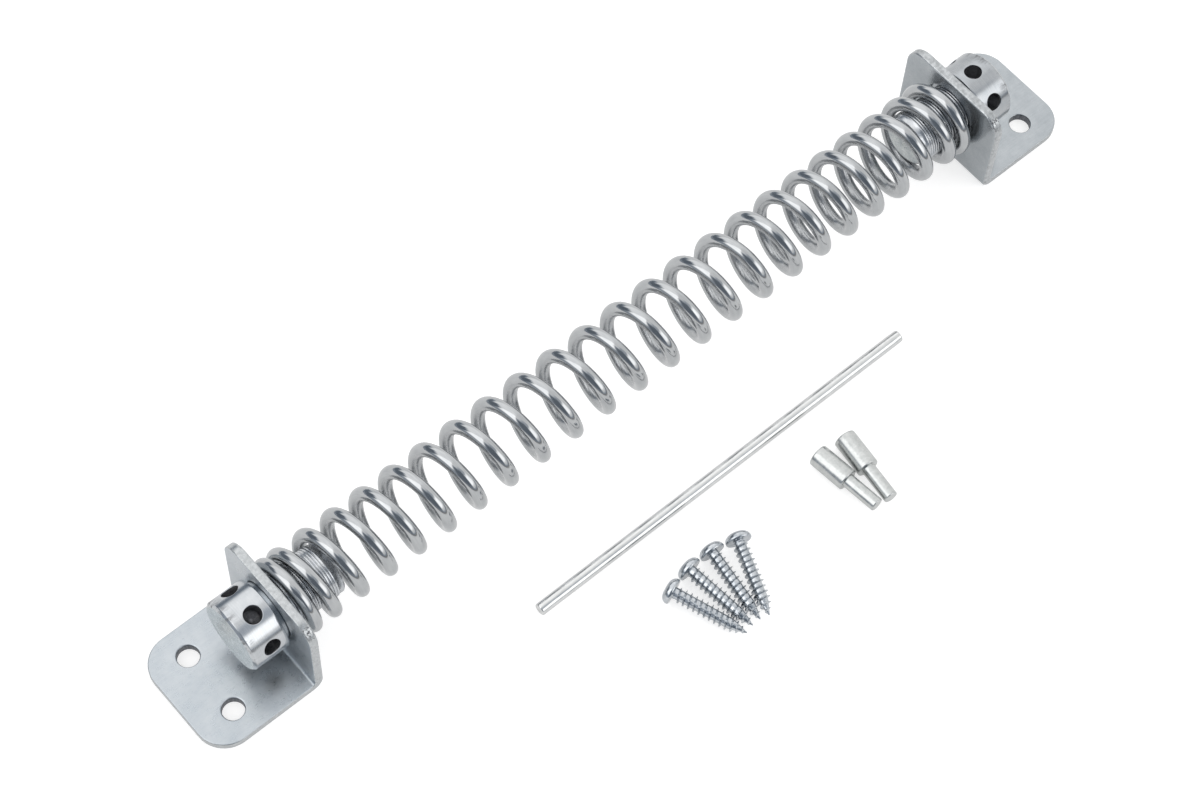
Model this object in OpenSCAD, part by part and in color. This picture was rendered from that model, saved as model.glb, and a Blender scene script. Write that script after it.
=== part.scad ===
// Gate spring closer: a heavy torsion spring between two bent steel brackets,
// with the tommy bar, the two stop pins and the four screws that go with it.
// The spring lies along X. The base plates lie flat on z = 0, and the origin is
// midway between the left bracket's two screw holes, on its mounting face.

/* [Brackets] */
// Width of the base plate and of the flange
plate_w = 40; // [36:1:52]
// Thickness of the pressed plate
plate_t = 3; // [2:0.1:4]
// Inside radius of the bend
bend_r = 1; // [0.5:0.1:2.5]
// Corner radius of the base plate's outer corners
base_corner_r = 9.5; // [4:0.5:14]
// Corner radius of the flange's top corners
flange_corner_r = 7.2; // [3:0.5:10]
// From the line of screw holes to the outer edge of the base plate
hole_edge = 12.3; // [10:0.1:18]
// From the line of screw holes to the flange's face under the head
hole_run = 22.6; // [20:0.1:40]
// Diameter of a screw hole
screw_hole_d = 6.8; // [5:0.1:8]
// Distance between the two screw holes of a bracket
screw_hole_gap = 21.4; // [16:0.1:24]
// From the spring's axis to the top edge of the flange
flange_rise = 13.8; // [13:0.1:20]
// From one flange to the other, between their spring sides
flange_gap = 265.2; // [240:0.1:330]

/* [Spring] */
// Outside diameter of the spring
coil_od = 26.9; // [24:0.1:32]
// Diameter of the spring wire
wire_d = 4.4; // [3.5:0.1:5]
// Number of turns
coil_turns = 23.7; // [20:0.1:26]
// Angle of the wire's left end round the axis, from +Y towards +Z
coil_start = 25; // [0:5:355]
// Turns wound close together at each end
close_turns = 0.8; // [0.5:0.1:2]
// Gap between the wires of the close turns
close_gap = 0.45; // [0.45:0.05:1]
// Pitch of the turns that grip the plugs
plug_pitch = 9.6; // [7:0.1:11]
// Turns over which the pitch opens out towards the middle
open_turns = 8; // [4:0.5:10]
// Gap between the spring's ends and the flanges
spring_end_gap = 0.5; // [0.4:0.1:2]

/* [Tension plugs] */
// Gap between the spring's inside and the plug's ridges
ridge_fit = 0.3; // [0.3:0.05:0.6]
// Depth of the ridges turned on the shank
ridge_depth = 0.25; // [0.1:0.05:0.5]
// Pitch of the ridges
ridge_pitch = 0.9; // [0.7:0.1:1.5]
// Length of the shank beyond the flange
shank_l = 18.3; // [12:0.1:30]
// Plain land at the shank's inner end
shank_land = 1.4; // [1:0.1:3]
// Step from the ridges up to the bearing neck
neck_step = 1.05; // [0.5:0.05:2]
// How far the neck reaches into the flange
neck_bite = 1.6; // [1:0.1:2]
// Gap all round the neck in its hole in the flange
neck_fit = 0.3; // [0.3:0.05:0.6]
// How far the head covers the flange round the hole
head_cover = 1.7; // [1:0.1:4]
// Length of the head
head_l = 12.2; // [9:0.1:18]
// Gap between the head and the flange
head_gap = 1.6; // [0.4:0.1:2]
// Chamfer on the head's outer edge
head_chamfer = 0.8; // [0.4:0.1:1.5]
// Chamfer on the shank's inner end
shank_chamfer = 0.6; // [0.3:0.1:1]
// Gap between the head and the base plate below it
head_lift = 6.8; // [2:0.1:15]
// Number of pin holes round a head
pin_holes = 6; // [4:1:6]
// Diameter of a pin hole
pin_hole_d = 5.5; // [4.5:0.1:6]
// Depth of a pin hole
pin_hole_depth = 6.5; // [4:0.1:7]
// From the head's outer face to the ring of pin holes
pin_hole_in = 6.9; // [4:0.1:9]
// Turn of the left plug's first pin hole from upright
left_hole_turn = 15; // [-30:1:30]
// Turn of the right plug's first pin hole from upright
right_hole_turn = -5; // [-30:1:30]

/* [Tommy bar] */
// Diameter of the tommy bar
bar_d = 4; // [3:0.1:5]
// Length of the tommy bar
bar_l = 145; // [100:1:200]
// Chamfer at the tommy bar's ends
bar_chamfer = 0.3; // [0.2:0.1:0.8]
// Left end of the tommy bar as it lies, along X
bar_x = 87.3; // [60:0.1:100]
// From the spring's axis to the tommy bar, towards -Y
bar_side = 42.7; // [34:0.1:46]

/* [Stop pins] */
// Diameter of a stop pin's thick end
pin_thick_d = 7.2; // [5:0.1:7.2]
// Diameter of a stop pin's thin end
pin_thin_d = 4.5; // [3:0.1:4.6]
// Length of the thick end
pin_thick_l = 12.4; // [8:0.1:13]
// Length of the thin end
pin_thin_l = 11.7; // [8:0.1:12]
// Chamfer on a stop pin's edges
pin_chamfer = 0.35; // [0.2:0.05:0.6]
// Midpoint between the two thick ends, along X
pins_x = 189.2; // [180:0.1:200]
// Midpoint between the two thick ends, along Y
pins_y = -58.1; // [-80:0.1:-56]
// Distance between the centres of the two thick end faces
pins_apart = 10.2; // [10.2:0.1:14]
// Angle between the two pins as they lie
pins_spread = 12.5; // [0:0.5:12.5]
// Turn of the pair of pins
pins_turn = -1; // [-10:0.5:10]
// Distance that one pin lies ahead of the other
pins_shift = 0.8; // [0:0.1:4]

/* [Screws] */
// Diameter of a screw's pan head
screw_head_d = 8.2; // [7.4:0.1:9]
// Height of the pan head
screw_head_h = 2.8; // [2:0.1:4]
// Height of the straight rim round the pan head
screw_rim_h = 0.5; // [0.3:0.1:1]
// Diameter over the thread
thread_d = 5; // [4:0.1:5.4]
// Diameter of the core under the thread
thread_core_d = 3.4; // [2.4:0.1:3.6]
// Pitch of the thread
thread_pitch = 1.75; // [1.4:0.05:2.4]
// Length of a screw under its head
screw_l = 24.5; // [20:0.5:26]
// Length of the tapered point
screw_point_l = 5.5; // [4:0.5:8]
// Width of the cross recess
recess_w = 1.1; // [0.8:0.1:1.4]
// Length of the cross recess
recess_l = 4.8; // [3.5:0.1:5.5]
// Depth of the cross recess
recess_depth = 1.7; // [1:0.1:2]
// Point where the lines of the four screws meet, along X
fan_x = 133.5; // [120:0.5:140]
// Point where the lines of the four screws meet, along Y
fan_y = -99; // [-130:0.5:-95]
// From that point to the underside of the heads
fan_r = 37; // [36.5:0.5:42]
// Gap between one screw's head and the next
fan_gap = 0.7; // [0.5:0.1:2]

/* [Hidden] */

// Colours as in the photograph: bright zinc plate, all cool greys
bracket_tone = [0.80, 0.81, 0.82];
plug_tone = [0.76, 0.77, 0.79];
wire_tone = [0.70, 0.72, 0.75];
loose_tone = [0.78, 0.79, 0.80];
screw_tone = [0.68, 0.70, 0.73];

// Smoothness of round shapes, and the length by which a cut runs past a face
fine = 96;
cut = 1;

// Spring: rings in a turn and sides round the wire
turn_rings = 24;
wire_sides = 6;
wire_r = wire_d / 2;
coil_r = coil_od / 2 - wire_r;
rings = round(coil_turns * turn_rings);

// Plug radii follow the spring's inside, and the flange's hole follows the neck
ridge_r = coil_r * cos(180 / turn_rings) - wire_r - ridge_fit;
root_r = ridge_r - ridge_depth;
neck_r = ridge_r + neck_step;
bearing_r = neck_r + neck_fit;
head_r = bearing_r + head_cover;

// Heights of the axis and of the flange
axis_h = plate_t + head_lift + head_r;
flange_h = axis_h + flange_rise;

// Stations along X: the flange's two faces and the head's two faces
flange_x = hole_run;
flange_back_x = hole_run + plate_t;
head_in_x = flange_x - head_gap;
head_out_x = head_in_x - head_l;
line_gap = flange_gap + 2 * flange_back_x;

// Stations along a plug, from its outer face
neck_end = head_l + head_gap + neck_bite;
plug_l = head_l + head_gap + plate_t + shank_l;
ridge_count = floor((plug_l - shank_land - neck_end) / ridge_pitch);

// The turns' pitch: close at each end, wider on the plugs, widest in the middle.
// The middle takes up whatever length is left between the two flanges.
spring_l = flange_gap - 2 * (wire_r + spring_end_gap);
close_pitch = wire_d + close_gap;
close_fade = 0.4;
function ease(t) = let (s = min(1, max(0, t))) s * s * (3 - 2 * s);
function turns_in(k) = min(k + 0.5, rings - k - 0.5) / turn_rings;
function plug_part(k) = close_pitch
    + (plug_pitch - close_pitch) * ease((turns_in(k) - close_turns) / close_fade);
function middle_part(k) = min(1, max(0, (turns_in(k) - 1) / open_turns));
steps = [for (k = [0:rings - 1]) 1];
plug_parts = [for (k = [0:rings - 1]) plug_part(k)];
middle_parts = [for (k = [0:rings - 1]) middle_part(k)];
middle_rise = (spring_l * turn_rings - steps * plug_parts) / (steps * middle_parts);
pitches = plug_parts + middle_rise * middle_parts;
stations = [for (k = 0, s = 0; k <= rings; s = s + pitches[min(k, rings - 1)] / turn_rings, k = k + 1) s];

// Points of the wire: six corners round each ring, square to the wire's run
function wire_point(k, side) =
    let (angle = coil_start + k * 360 / turn_rings,
         out = [0, cos(angle), sin(angle)],
         run = [pitches[min(k, rings - 1)] / 360, -coil_r * sin(angle) * PI / 180, coil_r * cos(angle) * PI / 180],
         across = cross(run / norm(run), out),
         turn = side * 360 / wire_sides,
         centre = [stations[k], 0, 0] + coil_r * out)
    centre + wire_r * (cos(turn) * out + sin(turn) * across);
wire_points = [for (k = [0:rings]) for (side = [0:wire_sides - 1]) wire_point(k, side)];
wire_walls = [for (k = [0:rings - 1]) for (side = [0:wire_sides - 1])
    let (a = k * wire_sides + side,
         b = k * wire_sides + (side + 1) % wire_sides)
    each [[a, b, b + wire_sides], [a, b + wire_sides, a + wire_sides]]];
last_ring = rings * wire_sides;
wire_ends = [for (side = [1:wire_sides - 2])
    each [[0, side + 1, side], [last_ring, last_ring + side, last_ring + side + 1]]];

// Least gap between one turn and the next, between the corners that face each other
near_rings = 3;
least_gap = min([for (k = [0:rings - turn_rings])
    for (m = [k + turn_rings - near_rings:min(rings, k + turn_rings + near_rings)])
        for (a = [1, 2])
            for (b = [4, 5])
                norm(wire_points[k * wire_sides + b] - wire_points[m * wire_sides + a])]);
echo(spring_least_gap = least_gap, spring_middle_pitch = plug_pitch + middle_rise);

// A screw as it lies: the rim of its head and the start of its point touch z = 0
screw_head_r = screw_head_d / 2;
thread_r = thread_d / 2;
core_r = thread_core_d / 2;
screw_tilt = atan((screw_head_r - thread_r) / (screw_l - screw_point_l + screw_rim_h));
screw_z = screw_head_r * cos(screw_tilt) - screw_rim_h * sin(screw_tilt);
screw_dome_h = screw_head_h - screw_rim_h;
fan_reach = fan_r + screw_rim_h;
fan_step = 2 * (atan(screw_head_r / fan_reach) + asin(fan_gap / 2 / norm([fan_reach, screw_head_r])));
thread_crests = floor((screw_l - screw_point_l) / thread_pitch);
point_crests = floor(screw_point_l / thread_pitch);

// Turns a shape made along Z so that it runs along X
module along_x() {
    rotate([0, 90, 0]) children();
}

// Puts a shape of the left end at the right end
module at_right_end() {
    translate([line_gap, 0, 0]) mirror([1, 0, 0]) children();
}

// What a rounded corner takes off a square one
module corner_waste(radius) {
    difference() {
        square(radius + cut);
        circle(r = radius, $fn = fine);
    }
}

// Side view of the bent strip: base plate, bend and upright flange
module strip_outline() {
    bend_x = flange_x - bend_r;
    bend_z = plate_t + bend_r;
    translate([-hole_edge, 0]) square([bend_x + hole_edge, plate_t]);
    translate([flange_x, bend_z]) square([plate_t, flange_h - bend_z]);
    intersection() {
        difference() {
            translate([bend_x, bend_z]) circle(r = bend_r + plate_t, $fn = fine);
            translate([bend_x, bend_z]) circle(r = bend_r, $fn = fine);
        }
        translate([bend_x, 0]) square([bend_r + plate_t, bend_z]);
    }
}

module bracket() {
    color(bracket_tone)
    difference() {
        translate([0, plate_w / 2, 0]) rotate([90, 0, 0]) linear_extrude(plate_w) strip_outline();
        for (side = [-1, 1]) {
            // Outer corners of the base plate
            translate([base_corner_r - hole_edge, side * (plate_w / 2 - base_corner_r), -cut])
                mirror([1, 0, 0]) mirror([0, side < 0 ? 1 : 0, 0])
                linear_extrude(plate_t + 2 * cut) corner_waste(base_corner_r);
            // Top corners of the flange
            translate([flange_x - cut, side * (plate_w / 2 - flange_corner_r), flange_h - flange_corner_r])
                mirror([0, side < 0 ? 1 : 0, 0])
                rotate([90, 0, 90]) linear_extrude(plate_t + 2 * cut) corner_waste(flange_corner_r);
            // Screw holes
            translate([0, side * screw_hole_gap / 2, -cut])
                cylinder(d = screw_hole_d, h = plate_t + 2 * cut, $fn = fine);
        }
        // Bearing hole for the plug's neck
        translate([flange_x - cut, 0, axis_h]) along_x()
            cylinder(r = bearing_r, h = plate_t + 2 * cut, $fn = fine);
    }
}

// Outline of a tension plug: radius and distance from its outer face
plug_outline = concat(
    [[0, 0], [head_r - head_chamfer, 0], [head_r, head_chamfer], [head_r, head_l],
     [neck_r, head_l], [neck_r, neck_end], [root_r, neck_end]],
    [for (i = [0:ridge_count - 1])
        each [[ridge_r, neck_end + (i + 0.5) * ridge_pitch], [root_r, neck_end + (i + 1) * ridge_pitch]]],
    [[root_r, plug_l - shank_chamfer], [root_r - shank_chamfer, plug_l], [0, plug_l]]);

module plug(hole_turn) {
    color(plug_tone)
    translate([head_out_x, 0, axis_h])
    difference() {
        along_x() rotate_extrude($fn = fine) polygon(plug_outline);
        for (i = [0:pin_holes - 1]) {
            rotate([hole_turn + i * 360 / pin_holes, 0, 0])
                translate([pin_hole_in, 0, head_r - pin_hole_depth])
                cylinder(d = pin_hole_d, h = pin_hole_depth + cut, $fn = fine);
        }
    }
}

module spring() {
    color(wire_tone)
    translate([flange_back_x + spring_end_gap + wire_r, 0, axis_h])
        polyhedron(points = wire_points, faces = concat(wire_walls, wire_ends));
}

module tommy_bar() {
    color(loose_tone)
    translate([bar_x, -bar_side, bar_d / 2]) along_x() rotate_extrude($fn = fine) polygon([
        [0, 0],
        [bar_d / 2 - bar_chamfer, 0],
        [bar_d / 2, bar_chamfer],
        [bar_d / 2, bar_l - bar_chamfer],
        [bar_d / 2 - bar_chamfer, bar_l],
        [0, bar_l]]);
}

// A stop pin rests on its thick end, with the thin end pointing towards -Y
module stop_pin(side) {
    thick_r = pin_thick_d / 2;
    thin_r = pin_thin_d / 2;
    pin_l = pin_thick_l + pin_thin_l;
    color(loose_tone)
    translate([pins_x, pins_y, thick_r])
        rotate([0, 0, pins_turn])
        translate([side * pins_apart / 2, -side * pins_shift / 2, 0])
        rotate([0, 0, -90 - side * pins_spread / 2])
        along_x() rotate_extrude($fn = fine) polygon([
            [0, 0],
            [thick_r - pin_chamfer, 0],
            [thick_r, pin_chamfer],
            [thick_r, pin_thick_l - pin_chamfer],
            [thick_r - pin_chamfer, pin_thick_l],
            [thin_r, pin_thick_l],
            [thin_r, pin_l - pin_chamfer],
            [thin_r - pin_chamfer, pin_l],
            [0, pin_l]]);
}

// Outline of a screw: radius and distance below the underside of its head
function crest_scale(i) = 1 - (i + 0.5) * thread_pitch / screw_point_l;
screw_outline = concat(
    [for (a = [90:-15:0]) [screw_head_r * pow(cos(a), 0.6), -screw_rim_h - screw_dome_h * sin(a)]],
    [[screw_head_r - screw_rim_h / 2, 0], [core_r, 0]],
    [for (i = [0:thread_crests - 1])
        each [[core_r, (i + 0.2) * thread_pitch], [thread_r, (i + 0.5) * thread_pitch],
              [core_r, (i + 0.8) * thread_pitch]]],
    [[core_r, screw_l - screw_point_l]],
    [for (i = [0:point_crests - 1])
        each [[thread_r * crest_scale(i), screw_l - screw_point_l + (i + 0.5) * thread_pitch],
              [core_r * crest_scale(i + 0.4), screw_l - screw_point_l + (i + 0.8) * thread_pitch]]],
    [[0, screw_l]]);

module screw(index) {
    fan_turn = 90 + (1.5 - index) * fan_step;
    color(screw_tone)
    translate([fan_x + fan_r * cos(fan_turn), fan_y + fan_r * sin(fan_turn), screw_z])
        rotate([0, screw_tilt, fan_turn + 180])
        along_x() difference() {
            rotate_extrude($fn = fine) polygon(screw_outline);
            for (turn = [45, 135]) {
                rotate([0, 0, turn])
                    translate([-recess_l / 2, -recess_w / 2, -screw_head_h - cut])
                    cube([recess_l, recess_w, recess_depth + cut]);
            }
        }
}

bracket();  // left_bracket
at_right_end() bracket();  // right_bracket
plug(left_hole_turn);  // left_plug
at_right_end() plug(right_hole_turn);  // right_plug
spring();
tommy_bar();
stop_pin(-1);  // stop_pin_1
stop_pin(1);  // stop_pin_2
screw(0);  // screw_1
screw(1);  // screw_2
screw(2);  // screw_3
screw(3);  // screw_4
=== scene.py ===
import math

import bmesh
import bpy
import numpy as np
from mathutils import Matrix, Vector, geometry


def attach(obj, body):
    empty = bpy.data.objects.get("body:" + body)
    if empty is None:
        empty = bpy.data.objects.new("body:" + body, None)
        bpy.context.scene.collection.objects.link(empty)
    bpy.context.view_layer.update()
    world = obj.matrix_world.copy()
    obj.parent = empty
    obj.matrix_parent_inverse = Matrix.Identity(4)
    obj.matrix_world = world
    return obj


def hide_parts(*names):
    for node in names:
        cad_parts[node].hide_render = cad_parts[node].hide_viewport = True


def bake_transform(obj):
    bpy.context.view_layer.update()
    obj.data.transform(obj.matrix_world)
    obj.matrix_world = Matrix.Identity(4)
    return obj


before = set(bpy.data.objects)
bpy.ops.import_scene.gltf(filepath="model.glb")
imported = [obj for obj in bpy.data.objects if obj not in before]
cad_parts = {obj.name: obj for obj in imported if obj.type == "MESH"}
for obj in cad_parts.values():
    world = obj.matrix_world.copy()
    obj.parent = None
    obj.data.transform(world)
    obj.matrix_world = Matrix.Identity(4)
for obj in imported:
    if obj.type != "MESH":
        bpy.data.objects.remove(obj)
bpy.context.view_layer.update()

MM = 0.001

# Sizes in millimetres, the same as the solids have. All shapes are made in millimetres
# and turned into metres when their mesh is written.
plate_w, plate_t, bend_r = 40.0, 3.0, 1.0
base_corner_r, flange_corner_r = 9.5, 7.2
hole_edge, hole_run = 12.3, 22.6
screw_hole_r, screw_hole_gap = 3.4, 21.4
flange_rise, flange_gap = 13.8, 265.2
coil_r, wire_r, turns, coil_start = 11.25, 2.2, 23.7, 25.0
close_turns, close_fade, close_pitch = 0.8, 0.4, 4.85
plug_pitch, open_turns, spring_end_gap = 9.6, 8.0, 0.5
solid_rings_a_turn, ridge_fit, neck_step, neck_fit, head_cover, head_lift = 24, 0.3, 1.05, 0.3, 1.7, 6.8
ridge_r = coil_r * math.cos(math.pi / solid_rings_a_turn) - wire_r - ridge_fit
neck_r = ridge_r + neck_step
bearing_r = neck_r + neck_fit
head_r = bearing_r + head_cover
axis_h = plate_t + head_lift + head_r
flange_h = axis_h + flange_rise
head_l, head_gap, neck_bite, shank_l = 12.2, 1.6, 1.6, 18.3
flange_x, flange_back_x = hole_run, hole_run + plate_t
head_out_x = flange_x - head_gap - head_l
line_gap = flange_gap + 2 * flange_back_x
neck_end = head_l + head_gap + neck_bite
plug_l = head_l + head_gap + plate_t + shank_l


# Mesh helpers

def shade(mesh, sharp):
    """Smooth, but for the edges over sharp degrees."""
    mesh.polygons.foreach_set("use_smooth", [True] * len(mesh.polygons))
    mesh.set_sharp_from_angle(angle=math.radians(sharp))


class Shape:
    """Points in millimetres and faces, gathered part by part and welded at the end."""

    def __init__(self):
        self.points, self.faces = [], []

    def grid(self, rows):
        """Quads between closed rows of points, each row as long as the next."""
        base, n = len(self.points), len(rows[0])
        for row in rows:
            self.points += [tuple(p) for p in row]
        for i in range(len(rows) - 1):
            low = base + i * n
            high = low + n
            for j in range(n):
                k = (j + 1) % n
                self.faces.append((low + j, low + k, high + k, high + j))

    def soup(self, points, faces):
        """Faces given as numbers of their own points."""
        base = len(self.points)
        self.points += [tuple(p) for p in points]
        self.faces += [tuple(base + i for i in f) for f in faces]

    def lathe(self, profile, count, phase=0.0):
        """Turns (radius, height) pairs round the Z axis."""
        turn = [phase + 2 * math.pi * i / count for i in range(count)]
        self.grid([[(r * math.cos(a), r * math.sin(a), z) for a in turn] for r, z in profile])

    def mesh(self, name, place=None, sharp=38.0, weld=2e-4):
        """The welded object, in metres."""
        bm = bmesh.new()
        verts = [bm.verts.new(Vector(p)) for p in self.points]
        for face in self.faces:
            bm.faces.new([verts[i] for i in face])
        bmesh.ops.remove_doubles(bm, verts=bm.verts, dist=weld)
        bmesh.ops.dissolve_degenerate(bm, edges=bm.edges, dist=weld / 4)
        bmesh.ops.recalc_face_normals(bm, faces=bm.faces)
        if place is not None:
            bm.transform(place)
            if place.determinant() < 0:
                bmesh.ops.reverse_faces(bm, faces=bm.faces)
        bm.transform(Matrix.Scale(MM, 4))
        mesh = bpy.data.meshes.new(name)
        bm.to_mesh(mesh)
        bm.free()
        shade(mesh, sharp)
        obj = bpy.data.objects.new(name, mesh)
        bpy.context.scene.collection.objects.link(obj)
        return obj


def soften(points, radii, steps=4):
    """Rounds the corners of an open path by the radii given for its points."""
    nearly_straight, most_of_a_side = 0.02, 0.49
    out = [tuple(points[0])]
    for i in range(1, len(points) - 1):
        last, corner, following = (np.array(points[k], float) for k in (i - 1, i, i + 1))
        side_in, side_out = np.linalg.norm(last - corner), np.linalg.norm(following - corner)
        back, ahead = (last - corner) / side_in, (following - corner) / side_out
        angle = math.acos(max(-1.0, min(1.0, float(back @ ahead))))
        if radii[i] <= 0 or angle > math.pi - nearly_straight:
            out.append(tuple(corner))
            continue
        slope = math.tan(angle / 2)
        reach = min(radii[i] / slope, most_of_a_side * side_in, most_of_a_side * side_out)
        r = reach * slope
        inward = (back + ahead) / np.linalg.norm(back + ahead)
        centre = corner + inward * r / math.sin(angle / 2)
        first, end = corner + back * reach - centre, corner + ahead * reach - centre
        span = math.acos(max(-1.0, min(1.0, float(first @ end) / (r * r))))
        for k in range(steps + 1):
            t = k / steps
            of_first, of_end = math.sin((1 - t) * span), math.sin(t * span)
            out.append(tuple(centre + (of_first * first + of_end * end) / math.sin(span)))
    out.append(tuple(points[-1]))
    return out


def inside(loops, p):
    """Which points lie within the outer loop and outside the holes."""
    hit = np.zeros(len(p), bool)
    for loop in loops:
        a = np.asarray(loop, float)
        b = np.roll(a, -1, axis=0)
        for (x1, y1), (x2, y2) in zip(a, b):
            if y1 == y2:
                continue
            spans = (y1 > p[:, 1]) != (y2 > p[:, 1])
            hit ^= spans & (p[:, 0] < (x2 - x1) * (p[:, 1] - y1) / (y2 - y1) + x1)
    return hit


def fill(loops, marks=(), links=()):
    """Triangles between closed loops in a plane.

    marks are loose points, and links are pairs of points to keep as edges.
    """
    snap = 1e-5
    points, edges = [], []
    for loop in loops:
        base = len(points)
        points += [tuple(q) for q in loop]
        edges += [(base + i, base + (i + 1) % len(loop)) for i in range(len(loop))]
    for a, b in links:
        base = len(points)
        points += [tuple(a), tuple(b)]
        edges.append((base, base + 1))
    points += [tuple(q) for q in marks]
    out = geometry.delaunay_2d_cdt([Vector(q) for q in points], edges, [], 0, snap)
    co = np.array([tuple(v) for v in out[0]], float)
    tris = np.array([t for t in out[2] if len(t) == 3], int)
    mid = co[tris].mean(axis=1)
    return co, tris[inside(loops, mid)]


# Brackets: one bent strip, all its edges softly rounded

bend_x, bend_z = flange_x - bend_r, plate_t + bend_r
bend_len, bend_steps, corner_steps = 3.4, 12, 14
strip_end = bend_x + bend_len + flange_h - bend_z
bend_marks = [bend_x + bend_len * k / bend_steps for k in range(bend_steps + 1)]
screw_hole_around, bearing_around = 72, 128
strip_rounding, screw_hole_rounding, bearing_rounding = (0.35, 0.75), (0.45, 0.2), (0.3, 0.3)


def bent(s, y, n):
    """A point of the flat strip, n below its upper face, in its place on the bent bracket."""
    if s <= bend_x:
        return (s, y, plate_t - n)
    if s >= bend_x + bend_len:
        return (flange_x + n, y, bend_z + s - bend_x - bend_len)
    a = (s - bend_x) / bend_len * math.pi / 2
    r = bend_r + n
    return (bend_x + r * math.sin(a), y, bend_z - r * math.cos(a))


def strip_edge(d):
    """The strip's outline, moved inwards by d, laid out flat."""
    half = plate_w / 2
    base_x, base_y = base_corner_r - hole_edge, half - base_corner_r
    flange_s, flange_y = strip_end - flange_corner_r, half - flange_corner_r

    def corner(cx, cy, r, quarter):
        turn = [math.pi / 2 * (quarter + k / corner_steps) for k in range(corner_steps + 1)]
        return [(cx + (r - d) * math.cos(a), cy + (r - d) * math.sin(a)) for a in turn]
    out = corner(base_x, -base_y, base_corner_r, 2)
    out += [(s, -half + d) for s in bend_marks]
    out += corner(flange_s, -flange_y, flange_corner_r, 3)
    out += corner(flange_s, flange_y, flange_corner_r, 0)
    out += [(s, half - d) for s in reversed(bend_marks)]
    return out + corner(base_x, base_y, base_corner_r, 1)


def round_hole(cx, cy, r, count):
    """A hole's outline in the flat strip, to be grown by d."""
    return lambda d: [(cx + (r + d) * math.cos(2 * math.pi * i / count),
                       cy + (r + d) * math.sin(2 * math.pi * i / count)) for i in range(count)]


def rim(r1, r2, t):
    """(distance in from the cut edge, depth) pairs over an edge rounded by r1 above and r2 below."""
    lip, steps, wall_steps = 0.18, 5, 4
    arc = [math.pi / 2 * k / steps for k in range(steps + 1)]
    above = [(r1 + lip, 0.0)] + [(r1 * (1 - math.sin(a)), r1 * (1 - math.cos(a))) for a in arc]
    wall = [(0.0, r1 + (t - r1 - r2) * k / wall_steps) for k in range(1, wall_steps)]
    below = [(r2 * (1 - math.sin(a)), t - r2 * (1 - math.cos(a))) for a in reversed(arc)]
    return above + wall + below + [(r2 + lip, t)]


def bracket(name, place):
    shape = Shape()
    bearing_s = bend_x + bend_len + axis_h - bend_z
    contours = [(strip_edge, *strip_rounding)]
    for side in (-1, 1):
        hole = round_hole(0, side * screw_hole_gap / 2, screw_hole_r, screw_hole_around)
        contours.append((hole, *screw_hole_rounding))
    contours.append((round_hole(bearing_s, 0, bearing_r, bearing_around), *bearing_rounding))
    faces = {0.0: [], plate_t: []}
    for edge, r1, r2 in contours:
        path = rim(r1, r2, plate_t)
        shape.grid([[bent(s, y, n) for s, y in edge(d)] for d, n in path])
        faces[0.0].append(edge(path[0][0]))
        faces[plate_t].append(edge(path[-1][0]))
    for n, loops in faces.items():
        half = max(q[1] for q in loops[0])
        links = [((s, -half), (s, half)) for s in bend_marks]
        co, tris = fill(loops, links=links)
        shape.soup([bent(x, y, n) for x, y in co], tris)
    obj = shape.mesh(name, place)

    # Materials: 0 faces, 1 walls of the screw holes, darkened as painted shade, 2 the strip's cut edge
    rolled, wall_skin = 0.6, 0.08
    face_facing, edge_facing, wall_facing = 0.8, 0.6, 0.7
    inverse = place.inverted()
    for poly in obj.data.polygons:
        q = inverse @ (poly.center / MM)
        n = poly.normal
        near = min(math.hypot(q.x, q.y - y) for y in (-screw_hole_gap / 2, screw_hole_gap / 2))
        if q.z > bend_z:
            edge = abs(n.x) < face_facing and math.hypot(q.y, q.z - axis_h) > bearing_r + rolled
        elif q.x > bend_x:
            edge = abs(n.y) > edge_facing
        else:
            edge = abs(n.z) < face_facing
        if near < screw_hole_r + rolled:
            poly.material_index = int(near < screw_hole_r + wall_skin and abs(n.z) < wall_facing)
        else:
            poly.material_index = 2 if edge else 0
    return obj


# Tension plugs: head with pin holes, neck and ridged shank

hole_r, hole_in, hole_depth, hole_rim, hole_count = 2.75, 6.9, 6.5, 0.22, 6
# Rings down a hole's wall, by their distance from the plug's axis, and the depth of its cone
hole_wall, hole_cone = (10.2, 8.4, 6.8), 1.4
around, hole_around, side_levels = 144, 48, 13
hole_fan = [2 * math.pi * i / hole_around for i in range(hole_around)]
head_chamfer, head_back, head_land, tail_chamfer = 0.8, 0.35, 0.6, 0.6
ridge_pitch, ridge_depth, ridge_count, ridge_power, ridge_steps = 0.9, 0.25, 19, 0.35, 8
root_r, groove_land = ridge_r - ridge_depth, 0.3


def plug_profiles():
    """(radius, distance from the outer face) pairs before and after the head's round side."""
    front = soften([(0, 0), (head_r - head_chamfer, 0), (head_r, head_chamfer),
                    (head_r, head_chamfer + head_land)], [0, 0.25, 0.3, 0])
    front = [(0.0, 0.0)] + [(head_r * k / 8, 0.0) for k in range(1, 7)] + front[1:]
    rear = soften([(head_r, head_l - head_back - head_land), (head_r, head_l), (neck_r, head_l),
                   (neck_r, neck_end), (root_r, neck_end), (root_r, neck_end + groove_land)],
                  [0, head_back, 0.2, 0.15, 0.1, 0])
    for i in range(ridge_count):
        z0 = neck_end + groove_land + i * ridge_pitch
        for k in range(1, ridge_steps):
            t = k / ridge_steps
            r = root_r + ridge_depth * math.sin(math.pi * t) ** ridge_power
            rear.append((r, z0 + ridge_pitch * t))
        rear.append((root_r, z0 + ridge_pitch))
    tail = soften([rear[-1], (root_r, plug_l - tail_chamfer), (root_r - tail_chamfer, plug_l), (0, plug_l)],
                  [0, 0.2, 0.2, 0])
    return front, rear + tail[1:-1] + [(root_r * k / 6, plug_l) for k in range(5, -1, -1)]


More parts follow.
